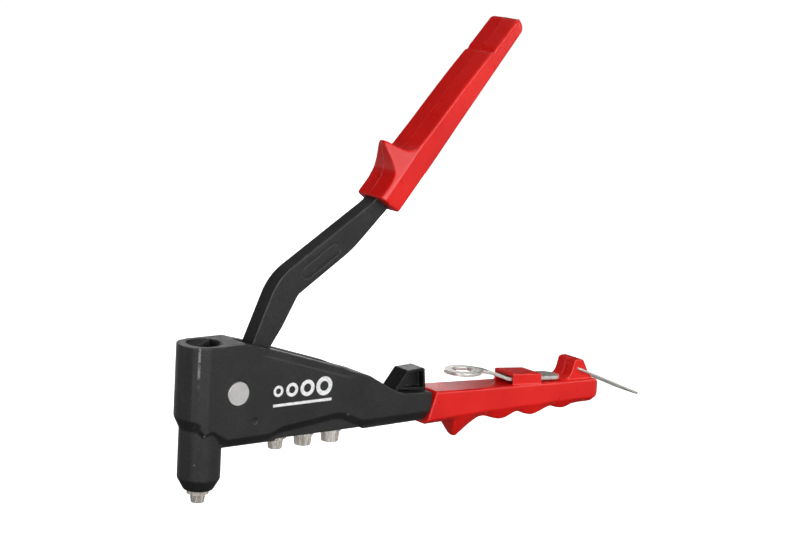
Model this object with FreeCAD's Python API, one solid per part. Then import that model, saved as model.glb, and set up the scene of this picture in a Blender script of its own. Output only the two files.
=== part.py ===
"""Heavy-duty hand riveter with four nosepieces.

Millimetres, +Z up the barrel. The origin is the tip of the fitted nosepiece, on the barrel's axis.
+X runs from the barrel towards the handles, and the tool is symmetrical about the plane Y = 0.
Each sub-part is one STEP file in parts/.
"""
import FreeCAD, Part
import math
import os

V = FreeCAD.Vector
Z_AXIS = V(0, 0, 1)
Y_AXIS = V(0, 1, 0)

# ---------------------------------------------------------------- driving dimensions
RUNNING = 0.04            # radial clearance of a part that turns or slides in another
SEATED = 0.02             # radial clearance of a part that is pressed or screwed home
OPEN_GAP = 0.4            # side clearance between the moving arm and the casting

# barrel and casting
BARREL_R = 11.15
BARREL_FOOT_Z = 7.0
BARREL_TAPER_Z = 13.2
BARREL_FOOT_R = 7.6
COLUMN_R = 14.0           # round front of the block, on the barrel's axis
COLUMN_LOW_Z = 45.5
COLUMN_MERGE_Z = 39.5
BLOCK_TOP_Z = 83.6
BLOCK_HALF = 12.4
TAIL_HALF = 9.8
TAIL_END_X = 141.5
UNDERSIDE_Z = 29.9
SPARE_SEAT_Z = 31.0       # the sole is recessed where the spare nosepieces sit
BEVEL_IN = 2.8            # the casting's lower edges are bevelled by this much sideways
BEVEL_DOWN = 3.9          # and this much downwards
BORE_R = 7.05
MOUTH_R = 9.2             # the bore's top edge is widely chamfered
MOUTH_CHAMFER_Z = 81.0
NOSE_THREAD_R = 4.2
BORE_LOW_Z = 14.5
CAVITY_HALF = 7.4
SLOT_HALF = 5.0 + OPEN_GAP

# main pivot and the arm's fork
PIVOT_X = 14.1
PIVOT_Z = 58.4
PIN_R = 4.0
PIN_HEAD_R = 6.3
PIN_HEAD_T = 1.6
PIN_HEAD_PROUD = 0.5
RING_SEAT_Y = 10.9        # flat on the far side where the retaining ring bears
HUB_R = 7.6
HUB_HALF = 7.0
BUSH_R = 5.0
CHEEK_IN = 3.8            # the fork's two cheeks stand this far from the middle plane
ARM_HALF = 5.0
LEVER_R = 15.0            # from the pivot to the middle of the fork's round ends
LEVER_REST_DEG = 22.0     # the fork hangs this far below level when the handles are open
LOBE_R = 4.0
LOBE_GAP = 0.3

# pull train inside the barrel
CASE_R = 7.0
CASE_LOW_Z = 16.0
CASE_TOP_Z = 44.0
CONE_LOW_Z = 17.2
CONE_TOP_Z = 32.6
CONE_LOW_R = 2.7
CONE_TOP_R = 5.5
JAW_LOW_Z = 18.8
JAW_TOP_Z = 29.6
JAW_COUNT = 3
JAW_SAW_CUT = 0.7
COIL_STEPS = 16           # points in each turn of a spring
MANDREL_R = 1.0
MANDREL_PATH_R = 1.8
NECK_R = 3.4
COLLAR_R = 6.2

# nosepieces
HEX_FLATS = 10.0
FITTED_CONE_H = 4.4
SPARE_CONE_H = 5.3
NOSE_HEX_H = 2.6
NOSE_THREAD_LENGTH = 7.4
NOSE_TAIL_LENGTH = 3.9
SPARE_X = (46.3, 63.7, 81.3)
SPARE_NAMES = ("spare_nosepiece_3_2", "spare_nosepiece_4_0", "spare_nosepiece_4_8")
SPARE_TIP_R = (3.7, 4.4, 4.7)
SPARE_BORE_R = (1.15, 1.35, 1.65)
FITTED_TIP_R = 3.5
FITTED_BORE_R = 0.95
SPARE_HOLE_DEPTH = 8.6

# upper grip: s runs along the grip from its lower end, h stands square to it, upwards
GRIP_X = 98.4
GRIP_Z = 154.5
GRIP_DEG = 51.0
UPPER_HALF = 11.9
UPPER_LENGTH = 127.0
UPPER_DEPTH = 14.5

# lower grip, with its wrench clip and its lug for the latch wire
LOWER_FRONT_HALF = 11.2
LOWER_REAR_HALF = 9.0
CLIP_X = (199.5, 220.5)
CLIP_HALF = 8.7
CLIP_WALL = 1.6
LUG_HALF = 7.5
LUG_X = 248.3
LUG_Z = 47.8

# stop block on the tail
BUMPER_PLUG_X = 130.0
BUMPER_HALF = 6.0

# latch wire
WIRE_R = 0.75
WIRE_HALF = 8.6
WIRE_LENGTH = 51.2
WIRE_DROP_DEG = 22.2
WIRE_END_Y = 2.5
WIRE_BEND = 1.6

# wrench
SHEET_T = 2.0
RING_X = 169.6
RING_R = 10.7
RING_FLATS = 10.4
BLADE_HALF = 6.8
NECK_HALF = 5.4
BLADE_END_X = 238.5


# ---------------------------------------------------------------- geometry helpers
def corner_arc(before, corner, after, radius):
    """Tangent arc that rounds a 2-D corner: its start, middle and end points."""
    to_before = (before[0] - corner[0], before[1] - corner[1])
    to_after = (after[0] - corner[0], after[1] - corner[1])
    length_b = math.hypot(*to_before)
    length_a = math.hypot(*to_after)
    unit_b = (to_before[0] / length_b, to_before[1] / length_b)
    unit_a = (to_after[0] / length_a, to_after[1] / length_a)
    half = math.acos(unit_b[0] * unit_a[0] + unit_b[1] * unit_a[1]) / 2
    reach = radius / math.tan(half)
    bisector = (unit_b[0] + unit_a[0], unit_b[1] + unit_a[1])
    size = math.hypot(*bisector)
    inward = radius / math.sin(half) - radius
    start = (corner[0] + unit_b[0] * reach, corner[1] + unit_b[1] * reach)
    end = (corner[0] + unit_a[0] * reach, corner[1] + unit_a[1] * reach)
    middle = (corner[0] + bisector[0] / size * inward, corner[1] + bisector[1] / size * inward)
    return start, middle, end


def outline_face(points, place):
    """Closed face through 2-D points (a, b) or (a, b, radius); place maps (a, b) to space."""
    count = len(points)
    edges = []
    first = None
    last = None
    for i, point in enumerate(points):
        radius = point[2] if len(point) > 2 else 0
        if radius:
            start, middle, end = corner_arc(points[i - 1], point, points[(i + 1) % count], radius)
        else:
            start = end = (point[0], point[1])
        if last is None:
            first = start
        elif math.dist(last, start) > 1e-6:
            edges.append(Part.LineSegment(place(*last), place(*start)).toShape())
        if radius:
            edges.append(Part.Arc(place(*start), place(*middle), place(*end)).toShape())
        last = end
    edges.append(Part.LineSegment(place(*last), place(*first)).toShape())
    return Part.Face(Part.Wire(edges))


def side_plate(points, half, middle=0.0):
    """Plate with a side outline (x, z), from middle - half to middle + half in Y."""
    face = outline_face(points, lambda x, z: V(x, middle - half, z))
    return face.extrude(V(0, 2 * half, 0))


def plan_plate(points, low, high):
    """Plate with a top-view outline (x, y), from z = low to z = high."""
    face = outline_face(points, lambda x, y: V(x, y, low))
    return face.extrude(V(0, 0, high - low))


def turned(profile, x=0.0, y=0.0):
    """Body turned about a vertical axis; profile holds (radius, z) points."""
    face = outline_face(profile, lambda r, z: V(x + r, y, z))
    return face.revolve(V(x, y, 0), Z_AXIS, 360)


def cross_rod(radius, x, z, y_from, y_to):
    """Rod along Y."""
    return Part.makeCylinder(radius, y_to - y_from, V(x, y_from, z), Y_AXIS)


def box(x, y, z):
    """Box from three (low, high) pairs."""
    return Part.makeBox(x[1] - x[0], y[1] - y[0], z[1] - z[0], V(x[0], y[0], z[0]))


def hexagon(flats, low, high, x=0.0, y=0.0):
    """Vertical hexagonal prism, measured across its flats."""
    corner = flats / math.sqrt(3)
    angles = [math.radians(60 * k + 30) for k in range(6)]
    ring = [(x + corner * math.cos(a), y + corner * math.sin(a)) for a in angles]
    return plan_plate(ring, low, high)


def on_line(line, x):
    """Height of a broken line (x, value) at x."""
    for (x0, v0), (x1, v1) in zip(line, line[1:]):
        if x0 <= x <= x1:
            return v0 + (v1 - v0) * (x - x0) / (x1 - x0)
    return line[-1][1]


def merged(*shapes):
    """One solid from overlapping solids, without seams between flush faces."""
    return shapes[0].fuse(list(shapes[1:])).removeSplitter()


def wire_solid(points, radius, bend):
    """Round wire along straight runs joined by tangent bends, all of one radius."""
    edges = []
    last = points[0]
    for before, corner, after in zip(points, points[1:], points[2:]):
        to_before = (before - corner).normalize()
        to_after = (after - corner).normalize()
        half = to_before.getAngle(to_after) / 2
        reach = bend / math.tan(half)
        inward = bend / math.sin(half) - bend
        start = corner + to_before * reach
        end = corner + to_after * reach
        middle = corner + (to_before + to_after).normalize() * inward
        edges.append(Part.LineSegment(last, start).toShape())
        edges.append(Part.Arc(start, middle, end).toShape())
        last = end
    edges.append(Part.LineSegment(last, points[-1]).toShape())
    path = Part.Wire(edges)
    along = points[1] - points[0]
    section = Part.Wire(Part.makeCircle(radius, points[0], along))
    return path.makePipeShell([section], True, False)


def spring_solid(points, wire_radius, coil_axis):
    """Round spring wire through the points, as short straight lengths."""
    curve = Part.BSplineCurve()
    curve.interpolate(points)
    rings = []
    for point in points:
        heading = curve.tangent(curve.parameter(point))[0]
        across = heading.cross(coil_axis).normalize()
        ring = Part.makeCircle(wire_radius)
        ring.Placement = FreeCAD.Placement(point, FreeCAD.Rotation(across, V(), heading, "ZXY"))
        rings.append(Part.Wire(ring))
    return Part.makeLoft(rings, True, True)


def coil_points(radius, turns, rise, start_angle=0.0):
    """Points of a coil as (a, b, along), turning from +a to +b while along goes from 0 to rise."""
    steps = int(round(turns * COIL_STEPS))
    points = []
    for k in range(steps + 1):
        angle = math.radians(start_angle) + 2 * math.pi * turns * k / steps
        points.append((radius * math.cos(angle), radius * math.sin(angle), rise * k / steps))
    return points


def grip_point(s, h):
    """Point (x, z) of the upper grip's own frame."""
    angle = math.radians(GRIP_DEG)
    along = (math.cos(angle), math.sin(angle))
    up = (-along[1], along[0])
    return GRIP_X + s * along[0] + h * up[0], GRIP_Z + s * along[1] + h * up[1]


def grip_prism(section, low, high):
    """Prism along the upper grip from s = low to s = high; section holds (y, h) points."""
    base = outline_face(section, lambda y, h: V(grip_point(low, h)[0], y, grip_point(low, h)[1]))
    start = grip_point(low, 0)
    end = grip_point(high, 0)
    return base.extrude(V(end[0] - start[0], 0, end[1] - start[1]))


def grip_outline(points):
    """Side outline given in the upper grip's own frame, with corner radii kept."""
    return [grip_point(p[0], p[1]) + tuple(p[2:]) for p in points]


def export(name, shape):
    """Write one sub-part and say what it is."""
    if not shape.isValid():
        raise ValueError(name + " is not a valid shape")
    shape.exportStep("parts/" + name + ".step")
    print("%-22s %d solid(s) %9.1f mm3" % (name, len(shape.Solids), shape.Volume))


# ---------------------------------------------------------------- casting
TOP_LINE = [(-7, 83.6), (18.7, 83.6), (36.4, 78.9), (79.9, 65.4), (86.3, 62.7), (97.7, 59.2),
            (114.9, 49.3), (121.0, 47.0), (TAIL_END_X, 45.4)]
FLANK_LINE = [(-7, 42.0), (-4.6, 38.8), (0, 40.1), (8.7, 34.7), (34.8, 35.0), (41.8, 37.9),
              (76.6, 41.6), (81.5, 41.0), (94.2, 35.5), (TAIL_END_X, 34.9)]
HALF_LINE = [(-7, BLOCK_HALF), (82.0, BLOCK_HALF), (TAIL_END_X, TAIL_HALF)]
SOLE_LINE = [(-7, 7.0), (-4.6, 8.4), (0, BLOCK_HALF - BEVEL_IN), (82.0, BLOCK_HALF - BEVEL_IN),
             (TAIL_END_X, TAIL_HALF - 2.2)]


def block_section(x):
    """Cross-section of the block and tail at x: flat sides, bevelled lower edges, narrower sole."""
    half = on_line(HALF_LINE, x)
    sole = on_line(SOLE_LINE, x)
    top = on_line(TOP_LINE, x)
    flank = on_line(FLANK_LINE, x)
    shelf = flank - BEVEL_DOWN
    corners = [(-half, top), (half, top), (half, flank), (sole, shelf), (sole, UNDERSIDE_Z),
               (-sole, UNDERSIDE_Z), (-sole, shelf), (-half, flank)]
    points = [V(x, y, z) for y, z in corners]
    return Part.makePolygon(points + points[:1])


def casting_outside():
    """Barrel, round-fronted block and long tail, with the tang that carries the lower grip."""
    column = turned([(0, BARREL_FOOT_Z), (BARREL_FOOT_R, BARREL_FOOT_Z, 0.8),
                     (BARREL_R, BARREL_TAPER_Z, 2), (BARREL_R, COLUMN_MERGE_Z, 1),
                     (COLUMN_R, COLUMN_LOW_Z, 2), (COLUMN_R, BLOCK_TOP_Z), (0, BLOCK_TOP_Z)])
    stations = sorted({x for line in (TOP_LINE, FLANK_LINE, HALF_LINE) for x, value in line})
    block = Part.makeLoft([block_section(x) for x in stations], True, True)
    facet_x = (-11.2, -8.9)
    facet_y = (8.4, 10.66)
    far_side = [(-20, 3.8), (facet_x[0], facet_y[0]), (facet_x[1], facet_y[1]), (-3.2, BLOCK_HALF),
                (82, BLOCK_HALF), (TAIL_END_X + 1, TAIL_HALF)]
    plan = [(x, -y) for x, y in far_side] + far_side[::-1]
    trimmed = merged(column, block).common(plan_plate(plan, 0, BLOCK_TOP_Z + 1))
    tang_profile = [(TAIL_END_X - 12, 32.0), (TAIL_END_X - 12, 43.4), (150, 43.0), (236, 38.4, 2),
                    (236, 31.6, 2)]
    return merged(trimmed, side_plate(tang_profile, 7.4))


def casting_cavities():
    """Everything that is cored or machined out of the casting."""
    bore = Part.makeCylinder(BORE_R, 100, V(0, 0, BORE_LOW_Z), Z_AXIS)
    thread = Part.makeCylinder(NOSE_THREAD_R + SEATED, 20, V(0, 0, 0), Z_AXIS)
    well_plan = [(-6.2, -CAVITY_HALF, 2.5), (11.5, -CAVITY_HALF, 2.5), (11.5, CAVITY_HALF, 2.5),
                 (-6.2, CAVITY_HALF, 2.5)]
    well = plan_plate(well_plan, 47.4, 72.5)
    mouth = box((-6.2, 7.7), (-6.6, 6.6), (72.0, 100))
    mouth_chamfer = turned([(0, MOUTH_CHAMFER_Z), (BORE_R, MOUTH_CHAMFER_Z), (MOUTH_R, BLOCK_TOP_Z),
                            (MOUTH_R, BLOCK_TOP_Z + 1), (0, BLOCK_TOP_Z + 1)])
    hub_room = cross_rod(HUB_R + 0.8, PIVOT_X, PIVOT_Z, -CAVITY_HALF, CAVITY_HALF)
    arm_slot = side_plate([(19.0, 100), (19.0, 72.5), (9.0, 72.5), (6.0, 60.0), (9.0, 50.2), (14.5, 49.6),
                           (57.0, 59.2), (70.0, 61.5), (93.0, 61.2), (93.0, 100)], SLOT_HALF)
    spring_groove = side_plate([(9.0, 51.0), (9.0, 46.8), (34.0, 52.2), (34.0, 58.0)], CHEEK_IN)
    cuts = [bore, thread, well, mouth, mouth_chamfer, hub_room, arm_slot, spring_groove]
    cuts.append(cross_rod(PIN_R + SEATED, PIVOT_X, PIVOT_Z, -20, 20))
    head_floor = -BLOCK_HALF - PIN_HEAD_PROUD + PIN_HEAD_T
    cuts.append(cross_rod(PIN_HEAD_R + 0.4, PIVOT_X, PIVOT_Z, -20, head_floor))
    cuts.append(cross_rod(PIN_HEAD_R + 1.2, PIVOT_X, PIVOT_Z, RING_SEAT_Y, 20))
    for x in SPARE_X:
        foot = V(x, 0, SPARE_SEAT_Z)
        cuts.append(Part.makeCylinder(NOSE_THREAD_R + SEATED, SPARE_HOLE_DEPTH, foot, Z_AXIS))
    cuts.append(box((39.9, 96.0), (-20, 20), (UNDERSIDE_Z - 1, SPARE_SEAT_Z)))
    cuts.append(Part.makeCylinder(2.5 + SEATED, 8, V(BUMPER_PLUG_X, 0, 40.0), Z_AXIS))
    for side in (-1, 1):
        depth = 0.3
        panel = [(29.0, 76.6), (81.5, 60.3), (92.0, 60.3), (92.0, 70.0), (29.0, 86.0)]
        cuts.append(side_plate(panel, depth, side * BLOCK_HALF))
        cuts.append(cross_rod(1.8, 25.0, 42.8, side * BLOCK_HALF - depth, side * BLOCK_HALF + depth))
    return cuts


def body_casting():
    return casting_outside().cut(casting_cavities()).removeSplitter()


# ---------------------------------------------------------------- pivot
def edges_at(shape, y):
    """Edges whose middle lies at this y."""
    return [edge for edge in shape.Edges if abs(edge.CenterOfMass.y - y) < 1e-6]


def pivot_pin():
    """Headed pin with a groove for its retaining ring at the far end."""
    head_top = -BLOCK_HALF - PIN_HEAD_PROUD
    head = Part.makeCylinder(PIN_HEAD_R, PIN_HEAD_T, V(PIVOT_X, head_top, PIVOT_Z), Y_AXIS)
    head = head.makeChamfer(0.3, edges_at(head, head_top))
    shank = cross_rod(PIN_R, PIVOT_X, PIVOT_Z, head_top + PIN_HEAD_T, BLOCK_HALF)
    shank = shank.makeChamfer(0.5, edges_at(shank, BLOCK_HALF))
    groove = cross_rod(PIN_R + 1, PIVOT_X, PIVOT_Z, RING_SEAT_Y, RING_SEAT_Y + 0.8)
    groove = groove.cut(cross_rod(PIN_R - 0.7, PIVOT_X, PIVOT_Z, RING_SEAT_Y - 1, RING_SEAT_Y + 2))
    return merged(head, shank).cut(groove)


def pivot_retaining_ring():
    """E-shaped snap ring: three pads bear in the pin's groove."""
    low = RING_SEAT_Y + 0.05
    high = RING_SEAT_Y + 0.75
    disc = cross_rod(PIN_R + 2.6, PIVOT_X, PIVOT_Z, low, high)
    disc = disc.cut(cross_rod(PIN_R + 0.6, PIVOT_X, PIVOT_Z, low - 1, high + 1))
    reach = PIN_R + 1.2
    for angle in (90, 210, 330):
        pad = box((PIN_R - 0.65, reach), (low, high), (-1.1, 1.1))
        pad.rotate(V(0, 0, 0), Y_AXIS, angle)
        pad.translate(V(PIVOT_X, 0, PIVOT_Z))
        disc = disc.fuse(pad)
    mouth = box((PIVOT_X - 2.6, PIVOT_X + 2.6), (low - 1, high + 1), (PIVOT_Z + 2, PIVOT_Z + 12))
    return disc.cut(mouth).removeSplitter()


def pivot_bushes():
    """One bush in each cheek of the arm's hub."""
    bushes = []
    for y_from, y_to in ((-HUB_HALF, -CHEEK_IN), (CHEEK_IN, HUB_HALF)):
        outer = cross_rod(BUSH_R, PIVOT_X, PIVOT_Z, y_from, y_to)
        inner = cross_rod(PIN_R + RUNNING, PIVOT_X, PIVOT_Z, y_from - 1, y_to + 1)
        bushes.append(outer.cut(inner))
    return Part.makeCompound(bushes)


def return_spring():
    """Torsion spring round the pin: one leg stands against the casting, one lies under the arm."""
    wire = 0.6
    radius = 5.3
    side = 2.8
    points = [V(10.3, side, 71.4), V(9.8, side, 69.4), V(9.1, side, 66.9), V(8.8, side, 63.2)]
    for a, b, along in coil_points(radius, 4.25, 2 * side, 180):
        points.append(V(PIVOT_X + a, side - along, PIVOT_Z + b))
    points += [V(17.6, -side, 53.0), V(20.9, -side, 53.4), V(23.1, -side, 55.6), V(28.1, -side, 63.2)]
    return spring_solid(points, wire, Y_AXIS)


# ---------------------------------------------------------------- handle arm
def lobe_centre():
    """Middle of the fork's round ends with the handles open."""
    angle = math.radians(180 + LEVER_REST_DEG)
    return PIVOT_X + LEVER_R * math.cos(angle), PIVOT_Z + LEVER_R * math.sin(angle)


def arm_plate():
    """The forged S-shaped arm and its flat tang inside the upper grip."""
    tang = grip_outline([(0.5, -11.6, 12), (109, -11.8, 1.4), (109, -8.4, 1.4)])
    top = grip_outline([(-3.0, -1.42, 12)])
    outline = [(20.7, 54.6), (44.3, 89.2), (53.2, 105.2, 7), (86.2, 126.8, 60)] + tang + top
    outline += [(40.2, 114.9, 30), (21.2, 70.5, 4), (11.4, 65.4), (PIVOT_X, PIVOT_Z)]
    plate = side_plate(outline, ARM_HALF)
    room = cross_rod(HUB_R - 0.5, PIVOT_X, PIVOT_Z, -CHEEK_IN, CHEEK_IN)
    return plate.cut(room)


def arm_fork():
    """Hub cheeks and the two short levers whose round ends lift the pull head."""
    lobe_x, lobe_z = lobe_centre()
    angle = math.radians(180 + LEVER_REST_DEG)
    across = (-math.sin(angle), math.cos(angle))
    waist = 1.8
    root = 2.4
    lever = [(lobe_x + waist * across[0], lobe_z + waist * across[1]),
             (lobe_x - waist * across[0], lobe_z - waist * across[1]),
             (PIVOT_X - root * across[0], PIVOT_Z - root * across[1]),
             (PIVOT_X + root * across[0], PIVOT_Z + root * across[1])]
    solid = merged(side_plate(lever, HUB_HALF), cross_rod(LOBE_R, lobe_x, lobe_z, -HUB_HALF, HUB_HALF),
                   cross_rod(HUB_R, PIVOT_X, PIVOT_Z, -HUB_HALF, HUB_HALF))
    gap = side_plate([(-12, 40), (PIVOT_X + 12, 40), (PIVOT_X + 12, 80), (-12, 80)], CHEEK_IN)
    return solid.cut(gap)


def handle_arm():
    arm = merged(arm_plate(), arm_fork())
    arm = arm.cut(cross_rod(BUSH_R + SEATED, PIVOT_X, PIVOT_Z, -20, 20))
    size_mark = obround(66.5, 122.2, 33.0, 27.0, 7.4)
    rim = obround(66.5, 122.2, 33.0, 25.4, 5.8)
    for side in (-1, 1):
        ring = side_plate(size_mark, 0.35, side * ARM_HALF).cut(side_plate(rim, 1.0, side * ARM_HALF))
        arm = arm.cut(ring)
    return arm.removeSplitter()


def obround(x, z, degrees, length, width):
    """Side outline of a slot shape with round ends, turned about its middle."""
    angle = math.radians(degrees)
    corners = []
    for a, b in ((-1, -1), (1, -1), (1, 1), (-1, 1)):
        u = a * length / 2
        w = b * width / 2
        corners.append((x + u * math.cos(angle) - w * math.sin(angle),
                        z + u * math.sin(angle) + w * math.cos(angle), width / 2 - 0.01))
    return corners


# ---------------------------------------------------------------- pull train
def cone_radius(z):
    """Inner radius of the jaw case's cone at height z."""
    return CONE_LOW_R + (CONE_TOP_R - CONE_LOW_R) * (z - CONE_LOW_Z) / (CONE_TOP_Z - CONE_LOW_Z)


def jaw_case():
    """Sleeve whose inner cone closes the jaws when it is pulled up."""
    return turned([(CONE_LOW_R, CASE_LOW_Z), (CASE_R - 1.2, CASE_LOW_Z), (CASE_R, CASE_LOW_Z + 1.2),
                   (CASE_R, CASE_TOP_Z), (CONE_TOP_R, CASE_TOP_Z), (CONE_TOP_R, CONE_TOP_Z),
                   (CONE_LOW_R, CONE_LOW_Z)])


def jaw(index):
    """One of three wedge jaws, with ring teeth along its gripping face."""
    teeth = 9
    step = (JAW_TOP_Z - 1.6 - JAW_LOW_Z - 1.0) / teeth
    profile = [(cone_radius(JAW_LOW_Z) - RUNNING, JAW_LOW_Z), (cone_radius(JAW_TOP_Z) - RUNNING, JAW_TOP_Z),
               (MANDREL_R + 1.6, JAW_TOP_Z), (MANDREL_R, JAW_TOP_Z - 1.6)]
    for k in range(teeth):
        z = JAW_TOP_Z - 1.6 - k * step
        profile.append((MANDREL_R + 0.3, z - 0.8 * step))
        profile.append((MANDREL_R, z - step))
    profile.append((MANDREL_R + 0.9, JAW_LOW_Z))
    ring = turned(profile)
    beside = box((-30, 30), (-JAW_SAW_CUT / 2, 30), (0, 60))
    beside.rotate(V(0, 0, 0), Z_AXIS, 60)
    sector = ring.cut([beside, beside.mirror(V(0, 0, 0), Y_AXIS)])
    sector.rotate(V(0, 0, 0), Z_AXIS, 120 * index)
    return sector


def jaw_pusher():
    """Hollow plunger that the spring presses down on the jaws."""
    flange_z = 32.2
    gap = 0.12
    return turned([(MANDREL_PATH_R - 0.6, JAW_TOP_Z - 1.2), (MANDREL_R + 0.3, JAW_TOP_Z - 1.2),
                   (MANDREL_R + 1.5, JAW_TOP_Z + gap), (4.0, JAW_TOP_Z + gap), (4.9, flange_z - 0.8),
                   (4.9, flange_z + 1.2), (2.7, flange_z + 1.2), (2.7, 41.6), (MANDREL_PATH_R - 0.6, 41.6)])


def jaw_spring():
    """Compression spring between the pusher's flange and the pull head."""
    wire = 0.45
    low = 33.4 + wire + 0.02
    high = 39.6 - wire - 0.02
    points = [V(a, b, low + along) for a, b, along in coil_points(4.1, 4.0, high - low)]
    return spring_solid(points, wire, Z_AXIS)


def pull_head():
    """Spool that the fork lifts: a threaded stub below, a groove for the fork, a top collar."""
    groove_low = lobe_centre()[1] - LOBE_R - LOBE_GAP
    groove_high = lobe_centre()[1] + LOBE_R + LOBE_GAP
    return turned([(2.75, 39.6), (CONE_TOP_R - SEATED, 39.6), (CONE_TOP_R - SEATED, groove_low - 1.5),
                   (COLLAR_R, groove_low - 1.5), (COLLAR_R, groove_low), (NECK_R, groove_low, 0.25),
                   (NECK_R, groove_high, 0.25), (COLLAR_R, groove_high), (COLLAR_R, groove_high + 2.2),
                   (COLLAR_R - 0.8, groove_high + 3.0), (MANDREL_PATH_R, groove_high + 3.0),
                   (MANDREL_PATH_R, 44.4), (2.75, 44.4)])


def jaw_case_lock_nut():
    """Nut that locks the pull head against the jaw case."""
    groove_low = lobe_centre()[1] - LOBE_R - LOBE_GAP
    nut = hexagon(12.0, CASE_TOP_Z + 0.02, groove_low - 1.52)
    return nut.cut(Part.makeCylinder(CONE_TOP_R + SEATED - 0.02, 20, V(0, 0, 38), Z_AXIS))


def nosepiece_shape(tip_r, cone_height, bore_r, tail):
    """Screw-in nosepiece, tip down: cone, hexagon, threaded shank and, when fitted, a tail."""
    hex_top = cone_height + NOSE_HEX_H
    shank_top = hex_top + NOSE_THREAD_LENGTH
    cone_top_r = min(tip_r + 0.55, HEX_FLATS / 2)
    cone = turned([(0, 0), (tip_r - 0.25, 0), (tip_r, 0.25), (cone_top_r, cone_height), (0, cone_height)])
    flange = hexagon(HEX_FLATS, cone_height, hex_top)
    shank = [(0, hex_top - 0.5), (NOSE_THREAD_R - 0.6, hex_top - 0.5), (NOSE_THREAD_R - 0.6, hex_top + 0.8)]
    turns = 8
    pitch = (NOSE_THREAD_LENGTH - 1.0) / turns
    for k in range(turns):
        z = hex_top + 0.8 + k * pitch
        shank += [(NOSE_THREAD_R, z + 0.45 * pitch), (NOSE_THREAD_R, z + 0.55 * pitch),
                  (NOSE_THREAD_R - 0.4, z + pitch)]
    shank += [(NOSE_THREAD_R - 0.6, shank_top), (0, shank_top)]
    parts = [cone, flange, turned(shank)]
    top = shank_top
    if tail:
        top = shank_top + NOSE_TAIL_LENGTH
        parts.append(turned([(0, shank_top - 0.5), (2.4, shank_top - 0.5), (2.4, top - 1.4), (1.7, top),
                             (0, top)]))
    solid = merged(*parts)
    return solid.cut(Part.makeCylinder(bore_r, top + 2, V(0, 0, -1), Z_AXIS))


def spare_nosepiece(index):
    spare = nosepiece_shape(SPARE_TIP_R[index], SPARE_CONE_H, SPARE_BORE_R[index], False)
    spare.translate(V(SPARE_X[index], 0, SPARE_SEAT_Z - SPARE_CONE_H - NOSE_HEX_H))
    return spare


# ---------------------------------------------------------------- grips
def upper_grip():
    """Hard plastic sleeve over the arm's tang, with a thumb horn and a notch for the latch wire."""
    bottom = -UPPER_DEPTH
    top = [(0, 0.1, 0.8), (9, -0.4, 20), (31, -1.4), (50, -2.2), (64, -2.8), (84, -3.9)]
    notch = [(100.6, -5.1, 0.4), (102.2, -6.3, 0.5), (103.8, -5.8, 0.4)]
    end = [(124.6, -6.9, 2.5), (UPPER_LENGTH, -9.2, 1.6), (UPPER_LENGTH, bottom, 4.2), (1.6, bottom, 1.5)]
    body = side_plate(grip_outline(top + notch + end), UPPER_HALF + 1)
    horn_line = [(8, -3), (8, -0.6), (15.5, 0.0, 14), (25.0, 12.6, 1.0), (27.2, 12.6, 1.0),
                 (28.2, 4.5, 10), (32.0, -1.5), (33, -3)]
    horn_end = [(-11.4, -3.2), (-11.4, -1.3), (-2.4, 12.9), (2.4, 12.9), (11.4, -1.3), (11.4, -3.2)]
    horn = side_plate(grip_outline(horn_line), UPPER_HALF).common(grip_prism(horn_end, 7, 34))
    solid = merged(body.common(plan_taper_upper()), horn)
    return solid.cut(arm_sleeve_room()).removeSplitter()


def plan_taper_upper():
    """Wedge that narrows the grip slightly towards its lower end."""
    narrow = UPPER_HALF - 0.4
    profile = [(-4, -narrow), (UPPER_LENGTH + 4, -UPPER_HALF), (UPPER_LENGTH + 4, UPPER_HALF), (-4, narrow)]
    angle = math.radians(GRIP_DEG)
    low = V(math.sin(angle), 0, -math.cos(angle)) * 30
    face = outline_face(profile, lambda s, y: V(grip_point(s, 0)[0], y, grip_point(s, 0)[1]) + low)
    return face.extrude(low * -2)


def arm_sleeve_room():
    """Pocket in the upper grip that fits the arm's tang."""
    clear = 0.03
    pocket = grip_outline([(-6, -11.6 - clear), (109.1, -11.83), (109.1, -8.35), (0, -1.55), (-6, -1.2)])
    return side_plate(pocket, ARM_HALF + clear)


def lower_grip_profile():
    """Side outline of the lower grip, down to the undersides of its finger bumps."""
    top = [(138.0, 27.2, 1), (143.6, 45.7, 0.8), (170, 44.2), (200, 43.0), (240.9, 41.5, 5)]
    lug = [(245.9, 52.9, 2.2), (252.2, 52.7, 2.5), (259.4, 41.2, 2)]
    end = [(267.2, 38.5, 4.5), (267.2, 27.2, 7), (249.0, 26.6, 8)]
    bumps = [(238.8, 24.4, 6), (229.9, 27.6, 4), (216.8, 22.6, 7), (206.0, 27.4, 4), (194.3, 22.8, 7)]
    guard = [(180.0, 27.3, 5), (164.7, 14.6, 2.0), (158.0, 26.9, 3)]
    return top + lug + end + bumps + guard


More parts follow.
